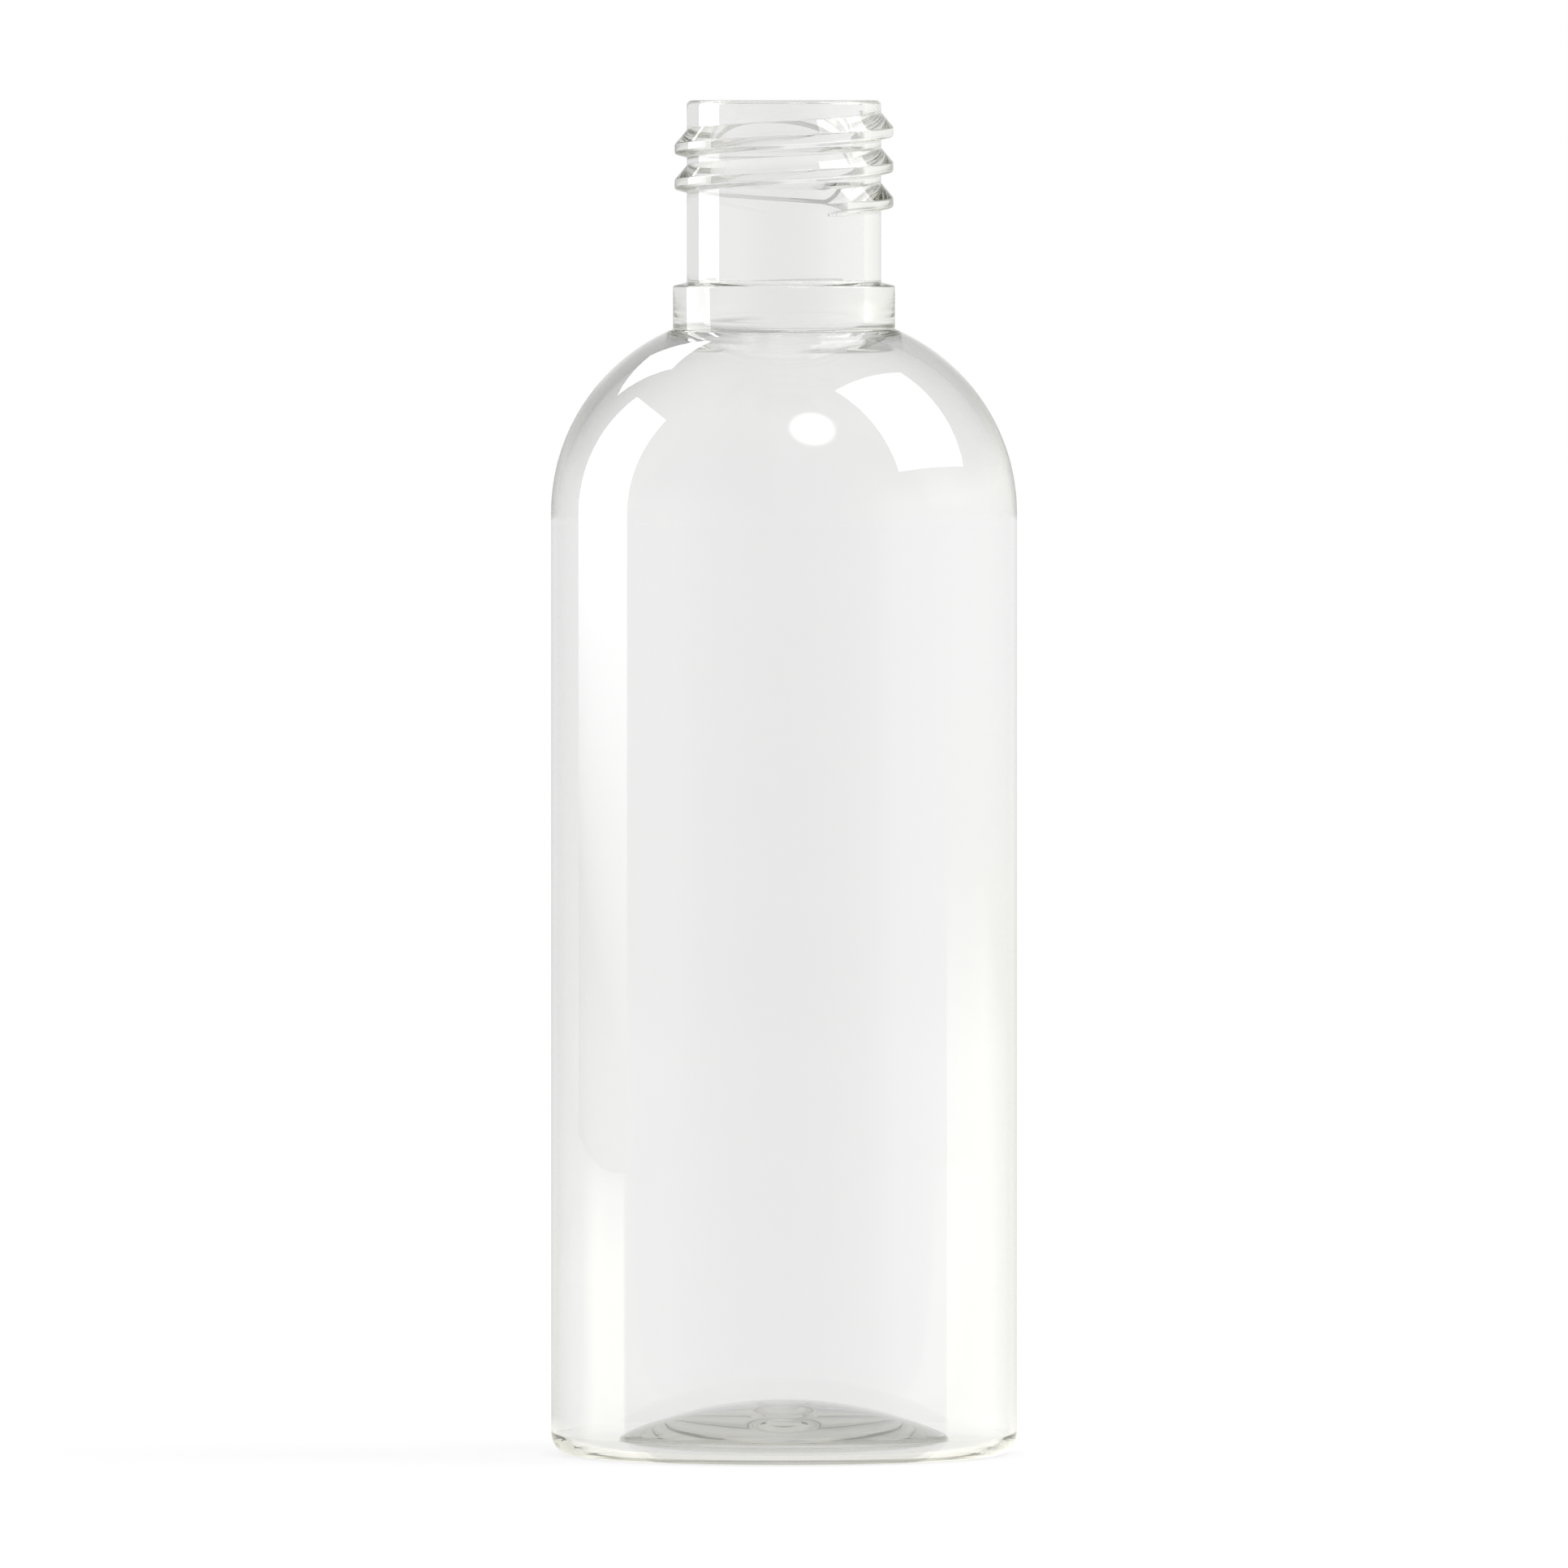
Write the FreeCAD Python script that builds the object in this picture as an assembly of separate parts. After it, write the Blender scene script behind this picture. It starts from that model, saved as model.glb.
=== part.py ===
"""A clear PET bottle of about 125 ml with a 20 mm screw neck, blown in one piece.

The tall round body stands on a flat ring round a pushed-up base. Its shoulder is a
round dome that meets a plain cylindrical collar. Above the collar stands the neck,
with a right-hand thread of a little over two turns under a rounded lip.
The bottle is open at the top and hollow all the way down: a thick moulded neck, a
wall that thins down the shoulder to the blown body, and a thicker base round the gate.

All sizes are in millimetres. +Z points up, and the origin is the centre of the ring
that the bottle stands on.
"""

import FreeCAD, Part
import math
import os

# Body
overall_height = 122.0
body_diameter = 42.0
body_wall = 0.5
heel_radius = 1.8
shoulder_radius = 18.0
shoulder_root_wall = 1.25

# Base
ring_wall = 0.7
push_up_diameter = 28.2
push_up_height = 2.85
push_up_rim_height = 0.8
push_up_corner_radius = 0.55
push_up_wall = 0.8
floor_corner_radius = 0.75
crown_wall = 2.0
gate_diameter = 2.6
gate_height = 0.35

# Neck and collar
neck_diameter = 17.5
neck_wall = 1.45
finish_height = 16.4
collar_step = 1.25
collar_height = 4.2
collar_slope = 0.3
collar_edge_radius = 0.2
collar_root_radius = 0.2
lip_radius = 0.45
throat_radius = 1.2

# Thread: eight to the inch, with a steep lower flank that the cap pulls on
thread_height = 1.1
thread_pitch = 3.18
thread_crest_width = 0.85
thread_lower_flank = 14.0
thread_upper_flank = 50.0
thread_edge_radius = 0.25
thread_full_turns = 2.1
thread_fade_turns = 0.1
thread_start_angle = 41.0
thread_start_depth = 3.16
thread_stations_per_turn = 16
thread_overlap = 0.2

body_radius = body_diameter / 2
neck_radius = neck_diameter / 2
bore_radius = neck_radius - neck_wall
collar_radius = neck_radius + collar_step
push_up_radius = push_up_diameter / 2
gate_radius = gate_diameter / 2

# The pushed-up middle of the base is a low dome on a short upright rim.
crown_rise = push_up_height - push_up_rim_height
crown_radius = (push_up_radius ** 2 + crown_rise ** 2) / (2 * crown_rise)
crown_centre = (0, push_up_height - crown_radius)

# The shoulder's arc is centred off the axis, level with the top of the straight wall.
collar_top = overall_height - finish_height
collar_bottom = collar_top - collar_height
shoulder_offset = body_radius - shoulder_radius
shoulder_rise = math.sqrt(shoulder_radius ** 2 - (collar_radius - shoulder_offset) ** 2)
shoulder_centre = (shoulder_offset, collar_bottom - shoulder_rise)


def place(radius, height):
    """The point at a distance from the axis and a height, in the plane through +X and +Z."""
    return FreeCAD.Vector(radius, 0, height)


def corner(radius, height):
    """A sharp corner of an outline."""
    return [place(radius, height)]


def bend(centre, radius, start, end):
    """A round stretch of an outline: its two ends and its middle, by angles up from level."""
    angles = [math.radians(angle) for angle in (start, (start + end) / 2, end)]
    return [place(centre[0] + radius * math.cos(a), centre[1] + radius * math.sin(a)) for a in angles]


def eased(before, at, after, radius):
    """The round stretch that takes a corner between two straight ones."""
    to_before = (before - at).normalize()
    to_after = (after - at).normalize()
    half = to_before.getAngle(to_after) / 2
    back = radius / math.tan(half)
    inwards = (to_before + to_after).normalize()
    peak = at + inwards * (radius / math.sin(half) - radius)
    return [at + to_before * back, peak, at + to_after * back]


def where_wall_meets_arc(wall, centre, arc_radius, rounding):
    """Centre of the rounding between an upright wall and an arc, and the angle of its touch.

    A negative rounding lies outside the arc and outside the wall.
    """
    across = wall - rounding - centre[0]
    up = math.sqrt((arc_radius - rounding) ** 2 - across ** 2)
    return (centre[0] + across, centre[1] + up), math.degrees(math.atan2(up, across))


def edges(outline):
    """The edges of a closed outline, with a straight one between each two stretches."""
    made = []
    for stretch, following in zip(outline, outline[1:] + outline[:1]):
        if len(stretch) > 1:
            made.append(Part.Arc(*stretch).toShape())
        if not stretch[-1].isEqual(following[0], 1e-7):
            made.append(Part.LineSegment(stretch[-1], following[0]).toShape())
    return made


def turned(outline):
    """The solid that a closed outline beside the axis makes in one full turn."""
    face = Part.Face(Part.Wire(edges(outline)))
    return face.revolve(place(0, 0), FreeCAD.Vector(0, 0, 1), 360)


def outside():
    """The bottle's outer form as one full solid, with the gate's stub under its base.

    The outline runs from the axis outwards under the base, up the wall and over the lip.
    """
    gate_tip = push_up_height - gate_height
    gate_foot = math.degrees(math.acos(gate_radius / crown_radius))
    rim_centre, rim_touch = where_wall_meets_arc(
        push_up_radius, crown_centre, crown_radius, push_up_corner_radius
    )
    shoulder_end = math.degrees(math.atan2(shoulder_rise, collar_radius - shoulder_offset))
    collar_edge = place(collar_radius, collar_top - collar_slope)
    neck_root = place(neck_radius, collar_top)
    return turned([
        corner(0, gate_tip),
        corner(gate_radius, gate_tip),
        bend(crown_centre, crown_radius, gate_foot, rim_touch),
        bend(rim_centre, push_up_corner_radius, rim_touch, 0),
        corner(push_up_radius, 0),
        bend((body_radius - heel_radius, heel_radius), heel_radius, -90, 0),
        bend(shoulder_centre, shoulder_radius, 0, shoulder_end),
        eased(place(collar_radius, collar_bottom), collar_edge, neck_root, collar_edge_radius),
        eased(collar_edge, neck_root, place(neck_radius, overall_height), collar_root_radius),
        bend((neck_radius - lip_radius, overall_height - lip_radius), lip_radius, 0, 90),
        corner(0, overall_height),
    ])


def inside():
    """The hollow as a solid: bore, throat, shoulder, body and the raised floor.

    The inner shoulder keeps the outer one's centre line but sits lower, so that the
    wall grows from the blown body's thickness to the thick root under the collar. The
    floor is a steeper dome than the one under it, so the base is thickest at the gate.
    """
    inner_radius = body_radius - body_wall
    dome_radius = shoulder_radius - body_wall
    dome_rise = math.sqrt(dome_radius ** 2 - (collar_radius - shoulder_offset) ** 2)
    dome_centre = (shoulder_offset, collar_bottom - shoulder_root_wall - dome_rise)
    throat_centre, throat_touch = where_wall_meets_arc(bore_radius, dome_centre, dome_radius, -throat_radius)
    inner_heel = max(heel_radius - body_wall, body_wall)
    floor_radius = push_up_radius + push_up_wall
    floor_top = push_up_height + crown_wall
    floor_rise = floor_top - push_up_rim_height - push_up_wall
    floor_crown = (floor_radius ** 2 + floor_rise ** 2) / (2 * floor_rise)
    floor_crown_centre = (0, floor_top - floor_crown)
    floor_centre, floor_touch = where_wall_meets_arc(
        floor_radius, floor_crown_centre, floor_crown, floor_corner_radius
    )
    above = overall_height + neck_radius
    return turned([
        bend(floor_crown_centre, floor_crown, 90, floor_touch),
        bend(floor_centre, floor_corner_radius, floor_touch, 0),
        corner(floor_radius, ring_wall),
        bend((inner_radius - inner_heel, ring_wall + inner_heel), inner_heel, -90, 0),
        bend(dome_centre, dome_radius, 0, throat_touch),
        bend(throat_centre, throat_radius, throat_touch + 180, 180),
        bend((bore_radius + lip_radius, overall_height - lip_radius), lip_radius, 180, 90),
        corner(bore_radius + lip_radius, above),
        corner(0, above),
    ])


def thread_section(angle, sunk, foot):
    """The thread's outline in the plane at an angle, drawn back into the wall by sunk.

    foot is the height at which the lower flank leaves the neck.
    """
    lower = math.tan(math.radians(thread_lower_flank))
    upper = math.tan(math.radians(thread_upper_flank))
    tall = thread_height + thread_overlap
    low_root = place(neck_radius - sunk - thread_overlap, foot - thread_overlap * lower)
    low_crest = low_root + place(tall, tall * lower)
    high_crest = low_crest + place(0, thread_crest_width)
    high_root = high_crest + place(-tall, tall * upper)
    turn = FreeCAD.Rotation(FreeCAD.Vector(0, 0, 1), angle)
    outline = [
        [low_root],
        eased(low_root, low_crest, high_crest, thread_edge_radius),
        eased(low_crest, high_crest, high_root, thread_edge_radius),
        [high_root],
    ]
    return Part.Wire(edges([[turn.multVec(point) for point in stretch] for stretch in outline]))


def thread():
    """The screw thread, which winds down clockwise from its start under the lip.

    At both ends it sinks smoothly into the neck, as a cutter leaves a mould.
    """
    turns = thread_full_turns + 2 * thread_fade_turns
    stations = math.ceil(turns * thread_stations_per_turn)
    sections = []
    for number in range(stations + 1):
        turned_by = turns * number / stations
        to_end = min(turned_by, turns - turned_by)
        faded = max(0.0, 1 - to_end / thread_fade_turns)
        sunk = (thread_height + thread_edge_radius / 2) * (1 - math.cos(math.pi * faded)) / 2
        foot = overall_height - thread_start_depth - thread_pitch * turned_by
        sections.append(thread_section(thread_start_angle - 360 * turned_by, sunk, foot))
    return Part.makeLoft(sections, True, False)


bottle = outside().fuse(thread()).cut(inside())
os.makedirs("parts", exist_ok=True)
bottle.exportStep("parts/bottle.step")
print("valid", bottle.isValid(), "solids", len(bottle.Solids), "faces", len(bottle.Faces))
print("volume of PET, cubic millimetres", round(bottle.Volume, 1))
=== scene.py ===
"""The looks of a clear PET bottle with a screw neck, standing in a plain white studio."""

import math

import bpy
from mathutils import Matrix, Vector


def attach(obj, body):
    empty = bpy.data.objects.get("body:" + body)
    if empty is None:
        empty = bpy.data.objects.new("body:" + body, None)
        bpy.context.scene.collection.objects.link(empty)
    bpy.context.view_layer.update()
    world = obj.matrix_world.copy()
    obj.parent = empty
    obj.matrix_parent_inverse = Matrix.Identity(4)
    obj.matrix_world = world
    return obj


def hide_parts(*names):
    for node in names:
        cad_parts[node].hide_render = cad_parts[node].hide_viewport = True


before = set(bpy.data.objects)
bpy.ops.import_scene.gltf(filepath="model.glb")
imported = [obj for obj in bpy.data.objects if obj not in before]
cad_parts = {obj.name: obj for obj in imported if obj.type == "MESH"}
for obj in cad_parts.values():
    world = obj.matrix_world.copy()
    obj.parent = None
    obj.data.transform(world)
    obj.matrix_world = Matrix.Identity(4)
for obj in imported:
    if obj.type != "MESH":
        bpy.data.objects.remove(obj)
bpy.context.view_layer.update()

MM = 0.001


# The bottle: PET blown against a polished mould, in one piece from lip to base. Its neck
# is the thick moulded end of the preform, the wall thins as it blows out into the body,
# and the base is pushed up round the stub of the gate. Sizes are in millimetres.

HEIGHT = 122.0
BODY_RADIUS = 21.0
BODY_WALL = 0.5
HEEL = 1.8
SHOULDER = 18.0
SHOULDER_ROOT_WALL = 1.25
RING_WALL = 0.7
PUSH_UP_RADIUS = 14.1
PUSH_UP_HEIGHT = 2.85
PUSH_UP_RIM = 0.8
PUSH_UP_CORNER = 0.55
PUSH_UP_WALL = 0.8
CROWN_WALL = 2.0
FLOOR_CORNER = 0.75
GATE_RADIUS = 1.3
GATE_HEIGHT = 0.35
NECK_RADIUS = 8.75
BORE_RADIUS = 7.3
FINISH_HEIGHT = 16.4
COLLAR_RADIUS = 10.0
COLLAR_HEIGHT = 4.2
COLLAR_SLOPE = 0.3
LIP = 0.45
THROAT = 1.2
SMALL_EDGE = 0.2
TINY_EDGE = 0.12

THREAD_HEIGHT = 1.1
THREAD_PITCH = 3.18
THREAD_CREST = 0.85
THREAD_LOWER_FLANK = math.radians(14)
THREAD_UPPER_FLANK = math.radians(50)
THREAD_EDGE = 0.25
THREAD_DEPTH = 3.16
# The thread's two ends are told in turns round from +X, and it winds down to the lower one.
THREAD_TURNS = 2.3
THREAD_FADE = 0.1
THREAD_TOP = 41 / 360
THREAD_END = THREAD_TOP - THREAD_TURNS
THREAD_FOOT = HEIGHT - THREAD_DEPTH - THREAD_PITCH * THREAD_TOP

ROUND_STEPS = 288
WELD = 0.002


def bend(centre, radius, start, end):
    """Points (distance from the axis, height) round an arc, between angles up from level."""
    coarsest = math.radians(2 if radius > 5 else 15)
    steps = max(3, math.ceil(abs(end - start) / coarsest))
    angles = [start + (end - start) * step / steps for step in range(steps + 1)]
    return [(centre[0] + radius * math.cos(a), centre[1] + radius * math.sin(a)) for a in angles]


def eased(before, corner, after, radius):
    """Points round the arc that takes a corner between two straight stretches."""
    corner = Vector(corner)
    to_before = (Vector(before) - corner).normalized()
    to_after = (Vector(after) - corner).normalized()
    half = to_before.angle(to_after) / 2
    centre = corner + (to_before + to_after).normalized() * radius / math.sin(half)
    first, last = [corner + way * radius / math.tan(half) - centre for way in (to_before, to_after)]
    start = math.atan2(first.y, first.x)
    turn = math.remainder(math.atan2(last.y, last.x) - start, math.tau)
    return bend(centre, radius, start, start + turn)


def wall_meets_arc(wall, centre, arc_radius, rounding):
    """Centre of the rounding between an upright wall and an arc, and the angle of its touch."""
    across = wall - rounding - centre[0]
    up = math.sqrt((arc_radius - rounding) ** 2 - across ** 2)
    return (wall - rounding, centre[1] + up), math.atan2(up, across)


UP = math.pi / 2
crown_rise = PUSH_UP_HEIGHT - PUSH_UP_RIM
crown_radius = (PUSH_UP_RADIUS ** 2 + crown_rise ** 2) / (2 * crown_rise)
crown_centre = (0, PUSH_UP_HEIGHT - crown_radius)
gate_tip = PUSH_UP_HEIGHT - GATE_HEIGHT
rim_centre, rim_touch = wall_meets_arc(PUSH_UP_RADIUS, crown_centre, crown_radius, PUSH_UP_CORNER)
collar_top = HEIGHT - FINISH_HEIGHT
collar_bottom = collar_top - COLLAR_HEIGHT
shoulder_offset = BODY_RADIUS - SHOULDER
shoulder_end = math.acos((COLLAR_RADIUS - shoulder_offset) / SHOULDER)
shoulder_centre = (shoulder_offset, collar_bottom - SHOULDER * math.sin(shoulder_end))
collar_edge = (COLLAR_RADIUS, collar_top - COLLAR_SLOPE)
neck_root = (NECK_RADIUS, collar_top)

below_neck = [
    (0, gate_tip),
    *eased((0, gate_tip), (GATE_RADIUS, gate_tip), (GATE_RADIUS, HEIGHT), TINY_EDGE),
    *bend(crown_centre, crown_radius, math.acos(GATE_RADIUS / crown_radius), rim_touch),
    *bend(rim_centre, PUSH_UP_CORNER, rim_touch, 0),
    *eased((PUSH_UP_RADIUS, HEIGHT), (PUSH_UP_RADIUS, 0), (BODY_RADIUS, 0), SMALL_EDGE),
    *bend((BODY_RADIUS - HEEL, HEEL), HEEL, -UP, 0),
    *bend(shoulder_centre, SHOULDER, 0, shoulder_end),
    *eased((COLLAR_RADIUS, collar_bottom), collar_edge, neck_root, SMALL_EDGE),
    *eased(collar_edge, neck_root, (NECK_RADIUS, HEIGHT), SMALL_EDGE),
]

dome_radius = SHOULDER - BODY_WALL
dome_rise = math.sqrt(dome_radius ** 2 - (COLLAR_RADIUS - shoulder_offset) ** 2)
dome_centre = (shoulder_offset, collar_bottom - SHOULDER_ROOT_WALL - dome_rise)
throat_centre, throat_touch = wall_meets_arc(BORE_RADIUS, dome_centre, dome_radius, -THROAT)
inner_radius = BODY_RADIUS - BODY_WALL
inner_heel = HEEL - BODY_WALL
floor_radius = PUSH_UP_RADIUS + PUSH_UP_WALL
floor_top = PUSH_UP_HEIGHT + CROWN_WALL
floor_rise = floor_top - PUSH_UP_RIM - PUSH_UP_WALL
floor_crown = (floor_radius ** 2 + floor_rise ** 2) / (2 * floor_rise)
floor_crown_centre = (0, floor_top - floor_crown)
floor_centre, floor_touch = wall_meets_arc(floor_radius, floor_crown_centre, floor_crown, FLOOR_CORNER)

above_neck = [
    *bend((NECK_RADIUS - LIP, HEIGHT - LIP), LIP, 0, UP),
    *bend((BORE_RADIUS + LIP, HEIGHT - LIP), LIP, UP, 2 * UP),
    *bend(throat_centre, THROAT, 2 * UP, throat_touch + 2 * UP),
    *bend(dome_centre, dome_radius, throat_touch, 0),
    *bend((inner_radius - inner_heel, RING_WALL + inner_heel), inner_heel, 0, -UP),
    *eased((inner_radius, RING_WALL), (floor_radius, RING_WALL), (floor_radius, HEIGHT), SMALL_EDGE),
    *bend(floor_centre, FLOOR_CORNER, 0, floor_touch),
    *bend(floor_crown_centre, floor_crown, floor_touch, UP),
]

# One pitch of the thread's section, as rise off the neck against height over its foot.
lower = THREAD_HEIGHT * math.tan(THREAD_LOWER_FLANK)
upper = THREAD_HEIGHT * math.tan(THREAD_UPPER_FLANK)
foot, low_crest = (0, 0), (THREAD_HEIGHT, lower)
high_crest, head = (THREAD_HEIGHT, lower + THREAD_CREST), (0, lower + THREAD_CREST + upper)
thread_section = [
    *eased((0, -THREAD_PITCH), foot, low_crest, TINY_EDGE),
    *eased(foot, low_crest, high_crest, THREAD_EDGE),
    *eased(low_crest, high_crest, head, THREAD_EDGE),
    *eased(high_crest, head, (0, THREAD_PITCH), TINY_EDGE),
]

# The neck's rows climb with the thread, one pitch a turn, so each row follows one line of
# its section. Rows that would leave the straight neck are held at its two ends.
neck_low, neck_high = below_neck[-1][1], above_neck[0][1]
lowest_turn = math.floor((neck_low - THREAD_FOOT) / THREAD_PITCH) - 1
highest_turn = math.ceil((neck_high - THREAD_FOOT) / THREAD_PITCH)
neck_rows = [
    (NECK_RADIUS, THREAD_FOOT + turn * THREAD_PITCH + over_foot, rise, turn)
    for turn in range(lowest_turn, highest_turn)
    for rise, over_foot in thread_section
]

rows = [(radius, height, 0, 0, 0) for radius, height in below_neck]
rows += [(*row, 1) for row in neck_rows]
rows += [(radius, height, 0, 0, 0) for radius, height in above_neck]
outline = bpy.data.meshes.new("bottle_outline")
outline.from_pydata([(row[0] * MM, 0, row[1] * MM) for row in rows], [], [])
for name, column in (("rise", 2), ("turn", 3), ("climbs", 4)):
    held = outline.attributes.new(name, "FLOAT", "POINT")
    scale = MM if name == "rise" else 1
    held.data.foreach_set("value", [row[column] * scale for row in rows])


def add(tree, kind, inputs=(), **settings):
    """Adds a node, with its settings and what feeds each of its inputs: a node, a socket or a value."""
    node = tree.nodes.new(kind)
    for name, value in settings.items():
        setattr(node, name, value)
    for name, value in dict(inputs).items():
        if isinstance(value, bpy.types.Node):
            value = value.outputs[0]
        if isinstance(value, bpy.types.NodeSocket):
            tree.links.new(value, node.inputs[name])
        else:
            node.inputs[name].default_value = value
    return node


turned = bpy.data.node_groups.new("turned_bottle", "GeometryNodeTree")
for name, kind in (
    ("Outline", "NodeSocketGeometry"),
    ("Round Steps", "NodeSocketInt"),
    ("Pitch", "NodeSocketFloat"),
    ("Neck Low", "NodeSocketFloat"),
    ("Neck High", "NodeSocketFloat"),
    ("Thread End", "NodeSocketFloat"),
    ("Thread Top", "NodeSocketFloat"),
    ("Thread Fade", "NodeSocketFloat"),
    ("Finish", "NodeSocketMaterial"),
):
    turned.interface.new_socket(name, in_out="INPUT", socket_type=kind)
turned.interface.new_socket("Bottle", in_out="OUTPUT", socket_type="NodeSocketGeometry")
given = add(turned, "NodeGroupInput").outputs

# A flat net of points: a column for each step round the axis, a row for each outline point.
size = add(turned, "GeometryNodeAttributeDomainSize", {"Geometry": given["Outline"]})
columns = add(turned, "ShaderNodeMath", {0: given["Round Steps"], 1: 1}, operation="ADD")
net = add(turned, "GeometryNodeMeshGrid", {"Vertices X": columns, "Vertices Y": size})
index = add(turned, "GeometryNodeInputIndex")
row = add(turned, "ShaderNodeMath", {0: index, 1: size}, operation="MODULO")
over = add(turned, "ShaderNodeMath", {0: index, 1: size}, operation="DIVIDE")
column = add(turned, "ShaderNodeMath", {0: over}, operation="FLOOR")
round_share = add(turned, "ShaderNodeMath", {0: column, 1: given["Round Steps"]}, operation="DIVIDE")

# What the outline holds at this row.
place = add(turned, "GeometryNodeInputPosition")
at_row = {"Geometry": given["Outline"], "Index": row}
point = add(turned, "GeometryNodeSampleIndex", {**at_row, "Value": place}, data_type="FLOAT_VECTOR")
split = add(turned, "ShaderNodeSeparateXYZ", {0: point})
rise, turn, climbs = [
    add(
        turned,
        "GeometryNodeSampleIndex",
        {**at_row, "Value": add(turned, "GeometryNodeInputNamedAttribute", {"Name": name})},
    )
    for name in ("rise", "turn", "climbs")
]

# The ridge stands off the neck, and sinks back into it at each end of the thread.
turns = add(turned, "ShaderNodeMath", {0: turn, 1: round_share}, operation="ADD")
end_full = add(turned, "ShaderNodeMath", {0: given["Thread End"], 1: given["Thread Fade"]}, operation="ADD")
top_full = add(
    turned, "ShaderNodeMath", {0: given["Thread Top"], 1: given["Thread Fade"]}, operation="SUBTRACT"
)
from_end = add(
    turned,
    "ShaderNodeMapRange",
    {"Value": turns, "From Min": given["Thread End"], "From Max": end_full},
    interpolation_type="SMOOTHSTEP",
)
from_top = add(
    turned,
    "ShaderNodeMapRange",
    {"Value": turns, "From Min": given["Thread Top"], "From Max": top_full},
    interpolation_type="SMOOTHSTEP",
)
full = add(turned, "ShaderNodeMath", {0: from_end, 1: from_top}, operation="MULTIPLY")
radius = add(
    turned, "ShaderNodeMath", {0: rise, 1: full, 2: split.outputs["X"]}, operation="MULTIPLY_ADD"
)

# The neck's rows climb one pitch in a turn, between the collar and the lip.
climbed = add(
    turned,
    "ShaderNodeMath",
    {0: round_share, 1: given["Pitch"], 2: split.outputs["Z"]},
    operation="MULTIPLY_ADD",
)
on_neck = add(turned, "ShaderNodeClamp", {0: climbed, 1: given["Neck Low"], 2: given["Neck High"]})
height = add(turned, "ShaderNodeMix", {0: climbs, 2: split.outputs["Z"], 3: on_neck})

angle = add(turned, "ShaderNodeMath", {0: round_share, 1: math.tau}, operation="MULTIPLY")
cosine = add(turned, "ShaderNodeMath", {0: angle}, operation="COSINE")
sine = add(turned, "ShaderNodeMath", {0: angle}, operation="SINE")
across = add(turned, "ShaderNodeMath", {0: radius, 1: cosine}, operation="MULTIPLY")
along = add(turned, "ShaderNodeMath", {0: radius, 1: sine}, operation="MULTIPLY")
moved = add(turned, "ShaderNodeCombineXYZ", {"X": across, "Y": along, "Z": height})
wrapped = add(turned, "GeometryNodeSetPosition", {"Geometry": net, "Position": moved})
closed = add(turned, "GeometryNodeMergeByDistance", {"Geometry": wrapped, "Distance": WELD * MM})
smooth = add(turned, "GeometryNodeSetShadeSmooth", {"Geometry": closed})
real = add(turned, "GeometryNodeRealizeInstances", {"Geometry": smooth})
finished = add(turned, "GeometryNodeSetMaterial", {"Geometry": real, "Material": given["Finish"]})
add(turned, "NodeGroupOutput", {"Bottle": finished})


def linear(colour):
    """The linear RGBA value of an sRGB hex colour."""
    parts = [int(colour[at:at + 2], 16) / 255 for at in (1, 3, 5)]
    return [part / 12.92 if part <= 0.04045 else ((part + 0.055) / 1.055) ** 2.4 for part in parts] + [1.0]


# Bottle-grade PET, blown against polished steel: water-clear and glossy, with a high
# refractive index that rims each edge in grey, and a faint green-grey where it is thick.
clear_pet = bpy.data.materials.new("clear_blown_pet")
clear_pet.use_nodes = True
clear_pet.node_tree.nodes.clear()
body = add(
    clear_pet.node_tree,
    "ShaderNodeBsdfPrincipled",
    {
        "Base Color": linear("#f9f9f9"),
        "Roughness": 0.0,
        "IOR": 1.575,
        "Transmission Weight": 1.0,
    },
)
depth = add(
    clear_pet.node_tree,
    "ShaderNodeVolumeAbsorption",
    {"Color": linear("#eeeeeb"), "Density": 70.0},
)
add(clear_pet.node_tree, "ShaderNodeOutputMaterial", {"Surface": body, "Volume": depth})

draft = bpy.data.objects.new("bottle_draft", outline)
bpy.context.scene.collection.objects.link(draft)
turning = draft.modifiers.new("turned", "NODES")
turning.node_group = turned
sockets = {item.name: item.identifier for item in turned.interface.items_tree if item.in_out == "INPUT"}
for name, value in (
    ("Round Steps", ROUND_STEPS),
    ("Pitch", THREAD_PITCH * MM),
    ("Neck Low", neck_low * MM),
    ("Neck High", neck_high * MM),
    ("Thread End", THREAD_END),
    ("Thread Top", THREAD_TOP),
    ("Thread Fade", THREAD_FADE),
    ("Finish", clear_pet),
):
    turning[sockets[name]] = value
even = draft.modifiers.new("even_shading", "WEIGHTED_NORMAL")
even.mode = "FACE_AREA"
seen = draft.evaluated_get(bpy.context.evaluated_depsgraph_get())
shell = bpy.data.objects.new("bottle_shell", bpy.data.meshes.new_from_object(seen))
bpy.context.scene.collection.objects.link(shell)
bpy.data.objects.remove(draft)
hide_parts("bottle")
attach(shell, "root")


# The white behind the bottle: a pale room, held by the world. Seen straight, or straight
# through the clear wall, it is white. What the bottle mirrors is the room itself: dark by
# the camera and overhead, paler round to the back and to the right.

def seen_straight(tree):
    """1 for a ray straight from the camera, and less once the bottle or floor has turned it back."""
    path = add(tree, "ShaderNodeLightPath").outputs
    clear = add(
        tree,
        "ShaderNodeMath",
        {0: path["Is Camera Ray"], 1: path["Is Transmission Ray"]},
        operation="ADD",
    )
    turned_back = add(tree, "ShaderNodeMath", {0: path["Glossy Depth"], 1: 1}, operation="MINIMUM")
    lost = 0.25
    dimmed = add(tree, "ShaderNodeMath", {0: turned_back, 1: -lost, 2: clear}, operation="MULTIPLY_ADD")
    return add(
        tree, "ShaderNodeMath", {0: dimmed, 1: path["Diffuse Depth"]}, operation="SUBTRACT", use_clamp=True
    )


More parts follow.
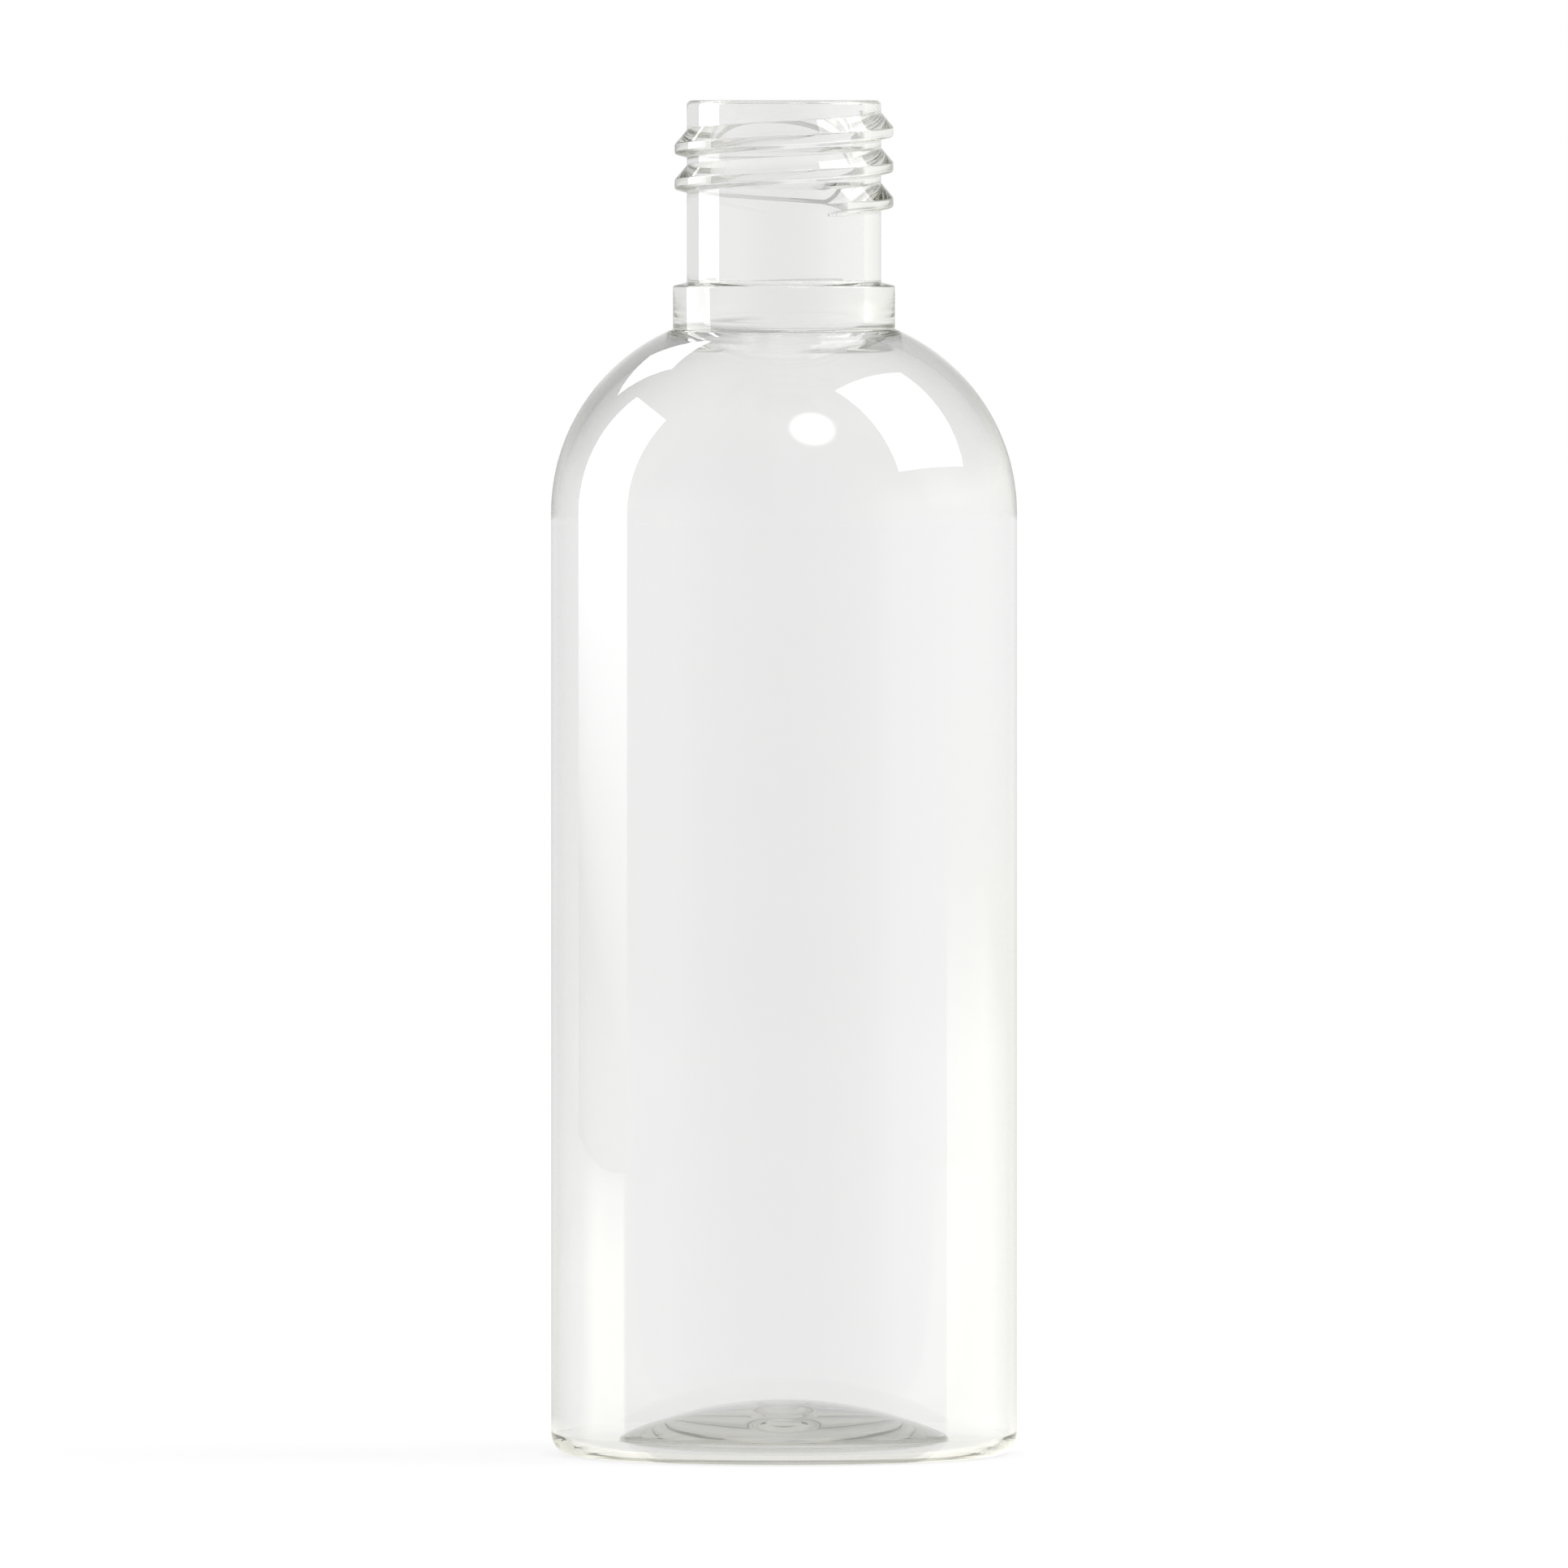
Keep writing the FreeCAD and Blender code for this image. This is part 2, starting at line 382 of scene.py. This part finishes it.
def ramp(tree, value, *stops):
    """A grey ramp through stops of place and linear strength."""
    node = add(tree, "ShaderNodeValToRGB", {"Fac": value})
    band = node.color_ramp
    while len(band.elements) < len(stops):
        band.elements.new(0.5)
    for element, (place, strength) in zip(band.elements, stops):
        element.position = place
        element.color = (strength, strength, strength, 1)
    return node


def room(tree, way):
    """How bright the room is in a direction: by how far round to the back, how high and how far right."""
    ways = add(tree, "ShaderNodeSeparateXYZ", {0: way}).outputs
    backwards = add(tree, "ShaderNodeMapRange", {"Value": ways["Y"], "From Min": -1.0, "From Max": 1.0})
    around = ramp(
        tree, backwards, (0.0, 0.0), (0.12, 0.28), (0.22, 0.62), (0.55, 0.74), (0.85, 0.76), (1.0, 0.69)
    )
    overhead = ramp(
        tree, ways["Z"], (0.0, 1.0), (0.1, 1.1), (0.2, 0.75), (0.3, 0.4), (0.6, 0.08), (1.0, 0.12)
    )
    rightwards = add(tree, "ShaderNodeMapRange", {"Value": ways["X"], "From Min": -1.0, "From Max": 1.0})
    to_right = ramp(
        tree, rightwards, (0.0, 0.5), (0.2, 0.7), (0.3, 0.95), (0.5, 1.0), (0.85, 1.36), (1.0, 1.8)
    )
    level = add(tree, "ShaderNodeMath", {0: around, 1: overhead}, operation="MULTIPLY")
    return add(tree, "ShaderNodeMath", {0: level, 1: to_right}, operation="MULTIPLY")


def backdrop(tree, way):
    """How white the room is straight behind: duller off to the left, above the horizon."""
    ways = add(tree, "ShaderNodeSeparateXYZ", {0: way}).outputs
    leftwards = add(tree, "ShaderNodeMapRange", {"Value": ways["X"], "From Min": -0.03, "From Max": -0.12})
    upwards = add(tree, "ShaderNodeMapRange", {"Value": ways["Z"], "From Min": 0.0, "From Max": 0.3})
    duller = add(tree, "ShaderNodeMath", {0: leftwards, 1: upwards}, operation="MULTIPLY")
    dullest = 0.3
    return add(tree, "ShaderNodeMath", {0: duller, 1: -dullest, 2: 1.0}, operation="MULTIPLY_ADD")


def blended(tree, share, first, second):
    """A colour between two others, by a share from 0 to 1."""
    mix = add(tree, "ShaderNodeMix", {0: share, 6: linear(first), 7: linear(second)}, data_type="RGBA")
    return mix.outputs[2]


world = bpy.data.worlds.new("white_studio")
bpy.context.scene.world = world
world.use_nodes = True
tree = world.node_tree
tree.nodes.clear()
way = add(tree, "ShaderNodeTexCoord").outputs["Generated"]
ways = add(tree, "ShaderNodeSeparateXYZ", {0: way}).outputs
rightwards = add(tree, "ShaderNodeMapRange", {"Value": ways["X"], "From Max": 0.7})
hue = blended(tree, rightwards, "#ffffff", "#fcfef2")
mirrored = add(tree, "ShaderNodeBackground", {"Color": hue, "Strength": room(tree, way)})
white = add(tree, "ShaderNodeBackground", {"Color": linear("#ffffff"), "Strength": backdrop(tree, way)})
shown = add(tree, "ShaderNodeMixShader", {0: seen_straight(tree), 1: mirrored, 2: white})
add(tree, "ShaderNodeOutputWorld", {"Surface": shown})


# The floor: a wide sheet of matt white paper, which the bottle stands on. It lies a hair
# below the foot, so that the two faces share no plane. Behind the bottle two pools of light
# are painted into its glow, one at each side, which the clear wall mirrors as its pale side bands.
PAPER_REACH = 6.0
PAPER_DROP = 0.05 * MM
paper_mesh = bpy.data.meshes.new("floor")
paper_mesh.from_pydata(
    [(x * PAPER_REACH, y * PAPER_REACH, 0) for x, y in ((-1, -1), (1, -1), (1, 1), (-1, 1))],
    [],
    [(0, 1, 2, 3)],
)
paper = bpy.data.objects.new("floor", paper_mesh)
paper.location.z = -PAPER_DROP
bpy.context.scene.collection.objects.link(paper)

# Matt white paper: even and flat to the eye, with the bottle's soft shadow at its foot, partly cast and
# partly painted. What the bottle mirrors of it is painted light.
paper_with_painted_light = bpy.data.materials.new("white_paper_with_painted_light")
paper_with_painted_light.use_nodes = True
tree = paper_with_painted_light.node_tree
tree.nodes.clear()
spot = add(tree, "ShaderNodeTexCoord").outputs["Object"]
away = add(tree, "ShaderNodeVectorMath", {0: spot}, operation="LENGTH").outputs["Value"]
way = add(tree, "ShaderNodeVectorMath", {0: spot}, operation="NORMALIZE")

# The painted pools of light are laid out by direction from a point a little in front of the axis.
FRONT_POINT = (0, -0.015, 0)
PAINTED_POOLS_START = 0.08
from_front = add(tree, "ShaderNodeVectorMath", {0: spot, 1: FRONT_POINT}, operation="SUBTRACT")
from_front = add(tree, "ShaderNodeVectorMath", {0: from_front}, operation="NORMALIZE")
ways = add(tree, "ShaderNodeSeparateXYZ", {0: from_front}).outputs
round_back = add(tree, "ShaderNodeMath", {0: ways["Y"], 1: PAINTED_POOLS_START}, operation="ADD")


def painted_pool(full, gone, *stops):
    """A painted pool of light on the paper, by the way round to the back, whole to one distance and gone at
    another.
    """
    reach = add(tree, "ShaderNodeMapRange", {"Value": away, "From Min": gone, "From Max": full})
    return add(tree, "ShaderNodeMath", {0: ramp(tree, round_back, *stops), 1: reach}, operation="MULTIPLY")


painted_left_pool = painted_pool(0.36, 0.78, (0.0, 0.0), (0.03, 2.0), (0.36, 1.9), (0.565, 0.8), (0.79, 0.6))
painted_right_pool = painted_pool(0.95, 2.9, (0.03, 0.0), (0.06, 2.2), (0.54, 2.0), (0.77, 1.25), (1.0, 0.8))
side = add(tree, "ShaderNodeMapRange", {"Value": ways["X"], "From Min": -0.2, "From Max": 0.2})
painted_pools = add(tree, "ShaderNodeMix", {0: side, 2: painted_left_pool, 3: painted_right_pool})

# A last painted stretch of light lies close round the foot, and keeps the mirroring heel pale.
near_span = {"Value": away, "From Min": 0.12, "From Max": 0.03}
painted_glow_near_foot = add(tree, "ShaderNodeMapRange", {**near_span, "To Max": 1.2})
painted_pools = add(tree, "ShaderNodeMath", {0: painted_pools, 1: painted_glow_near_foot}, operation="MAXIMUM")

# The soft boxes light the paper too, most near the bottle. That share is taken off the
# paper's own glow, so that the two add up to white and the shadow stays. The open floor
# gets a touch more, which keeps it clear white.
LIT_REACH = 4.0
OPEN_LIFT = 0.03
share_out = add(tree, "ShaderNodeMapRange", {"Value": away, "From Max": LIT_REACH})
lit_already = ramp(
    tree,
    share_out,
    (0.0, 0.15),
    (0.058, 0.145),
    (0.118, 0.125),
    (0.233, 0.07),
    (0.39, 0.035),
    (0.63, 0.026),
    (1.0, 0.022),
)
# What the bottle mirrors of the paper is painted light: the brighter of the painted pools and the room's
# levels, by the way from the middle to each spot.
mirrored = add(tree, "ShaderNodeMath", {0: painted_pools, 1: room(tree, way)}, operation="MAXIMUM")
mirrored = add(tree, "ShaderNodeMath", {0: mirrored, 1: lit_already}, operation="SUBTRACT")
seen = add(tree, "ShaderNodeMath", {0: 1.0, 1: lit_already}, operation="SUBTRACT")
open_view = add(tree, "ShaderNodeLightPath").outputs["Is Camera Ray"]
seen = add(tree, "ShaderNodeMath", {0: open_view, 1: OPEN_LIFT, 2: seen}, operation="MULTIPLY_ADD")
straight = seen_straight(tree)
glow = add(tree, "ShaderNodeMix", {0: straight, 2: mirrored, 3: seen})

# A painted shadow of the bottle on the paper that it stands on, multiplied into its glow:
# most under the pushed-up middle, and none from a little way past the heel. What the base mirrors shows the
# painted shadow deeper.
PAINTED_SHADOW_FULL = PUSH_UP_RADIUS * MM
PAINTED_SHADOW_END = (BODY_RADIUS + 1.5) * MM
painted_shadow_span = {"Value": away, "From Min": PAINTED_SHADOW_FULL, "From Max": PAINTED_SHADOW_END}
deepest_painted_shadow = add(tree, "ShaderNodeMix", {0: straight, 2: 0.5, 3: 0.8})
painted_shadow_under_foot = add(tree, "ShaderNodeMapRange", {**painted_shadow_span, "To Min": deepest_painted_shadow, "To Max": 1.0})
glow = add(tree, "ShaderNodeMath", {0: glow, 1: painted_shadow_under_foot}, operation="MULTIPLY")

# What the bottle mirrors of the painted pools has a faint warm tint.
not_straight = add(tree, "ShaderNodeMath", {0: 1.0, 1: straight}, operation="SUBTRACT")
warmth = add(tree, "ShaderNodeMath", {0: not_straight, 1: painted_pools}, operation="MULTIPLY", use_clamp=True)
hue = blended(tree, warmth, "#ffffff", "#fffff0")
lit = add(tree, "ShaderNodeBsdfDiffuse", {"Color": linear("#707070")})
pale = add(tree, "ShaderNodeEmission", {"Color": hue, "Strength": glow})
both = add(tree, "ShaderNodeAddShader", {0: lit, 1: pale})
add(tree, "ShaderNodeOutputMaterial", {"Surface": both})
paper_mesh.materials.append(paper_with_painted_light)


# The lights: soft boxes and a round lamp, all flat lit cards that stand round the bottle.
# They light the paper and show as white shapes in the bottle's glossy faces. They aren't
# seen by the camera or straight through the clear wall, and they throw no shadow.
BOX_LIGHT = 4.0
LAMP_LIGHT = 6.0
LAMP_RADIUS = 0.21
LAMP_CORE = 0.13

def lit_card(name, corners, level_at):
    """A flat card that glows at the level that level_at gives for a spot on it."""
    mesh = bpy.data.meshes.new(name)
    mesh.from_pydata(corners, [], [tuple(range(len(corners)))])
    card = bpy.data.objects.new(name, mesh)
    bpy.context.scene.collection.objects.link(card)
    glowing = bpy.data.materials.new(name)
    glowing.use_nodes = True
    tree = glowing.node_tree
    tree.nodes.clear()
    level = level_at(tree, add(tree, "ShaderNodeTexCoord").outputs["Object"])
    light = add(tree, "ShaderNodeEmission", {"Color": linear("#ffffff"), "Strength": level})
    add(tree, "ShaderNodeOutputMaterial", {"Surface": light})
    mesh.materials.append(glowing)
    card.visible_camera = False
    card.visible_transmission = False
    card.visible_shadow = False
    return card


def fading_down(tree, spot):
    """Nearly dark at the floor, full from about 80 mm up, and a little dimmer towards the back."""
    height = add(tree, "ShaderNodeVectorMath", {0: spot, 1: (0, -0.05, 1)}, operation="DOT_PRODUCT")
    span = {"Value": height.outputs["Value"], "From Min": 0.0145, "From Max": 0.08}
    return add(tree, "ShaderNodeMapRange", {**span, "To Min": 0.1, "To Max": BOX_LIGHT})


def even_light(tree, spot):
    """The same all over."""
    return BOX_LIGHT


def soft_edged(tree, spot):
    """Bright in the middle, and dark at the disc's edge."""
    out = add(tree, "ShaderNodeVectorMath", {0: spot}, operation="LENGTH").outputs["Value"]
    span = {"Value": out, "From Min": LAMP_RADIUS, "From Max": LAMP_CORE}
    return add(tree, "ShaderNodeMapRange", {**span, "To Max": LAMP_LIGHT}, interpolation_type="SMOOTHSTEP")


def towards(azimuth, elevation):
    """The unit vector to a direction, in degrees round from the camera's side and up."""
    azimuth, elevation = math.radians(azimuth), math.radians(elevation)
    across = math.cos(elevation)
    return Vector((across * math.sin(azimuth), -across * math.cos(azimuth), math.sin(elevation)))


# The long box stands upright at the left, from a little in front of the bottle to well behind.
lit_card(
    "left_box",
    [(-0.6, y, z) for y, z in ((-0.073, 0), (0.37, 0), (0.37, 0.65), (-0.073, 0.65))],
    fading_down,
)

# The two windows hang higher, each given by the directions of its corners as the shoulder
# sees them. One is at the right, and one behind at the left.
SHOULDER_MIDDLE = Vector((0, 0, 0.095))
for name, corners in (
    ("right_window", ((63, 69), (130, 48), (106, 15.6), (62, 20.4))),
    ("back_left_window", ((-137, 29), (-156, 30), (-160, 47.5), (-133, 49))),
):
    rays = [towards(*corner) for corner in corners]
    facing = sum(rays, Vector()).normalized()
    lit_card(name, [SHOULDER_MIDDLE + ray / ray.dot(facing) for ray in rays], even_light)

# The round lamp hangs high on the camera's side, a little to the right.
LAMP_STEPS = 48
turns_round = [math.tau * step / LAMP_STEPS for step in range(LAMP_STEPS)]
rim = [(LAMP_RADIUS * math.cos(a), LAMP_RADIUS * math.sin(a), 0) for a in turns_round]
lamp = lit_card("round_lamp", rim, soft_edged)
lamp_way = towards(19.4, 49.4)
lamp.location = SHOULDER_MIDDLE + lamp_way
lamp.rotation_euler = lamp_way.to_track_quat("Z", "Y").to_euler()


# The camera: far off on a long lens, level with the lip, and looking down a little at the
# bottle's middle. Light runs back and forth many times inside the heel and the base,
# whose edges turn black where it is given too few bounces.
PHOTO_WIDTH = 1932
FOCAL_PIXELS = 30359
FILM_WIDTH = 36
CAMERA_AWAY = 2.22
CAMERA_TILT = 1.5896
BOUNCES = 256
camera = bpy.data.objects.new("camera", bpy.data.cameras.new("camera"))
bpy.context.scene.collection.objects.link(camera)
camera.data.sensor_width = FILM_WIDTH
camera.data.lens = FOCAL_PIXELS / PHOTO_WIDTH * FILM_WIDTH
camera.location = (0, -CAMERA_AWAY, HEIGHT * MM)
camera.rotation_euler = (math.radians(90 - CAMERA_TILT), 0, 0)
bpy.context.scene.camera = camera
for kind in ("max_bounces", "transmission_bounces", "glossy_bounces", "transparent_max_bounces"):
    setattr(bpy.context.scene.cycles, kind, BOUNCES)
bpy.context.scene.view_settings.view_transform = "Standard"
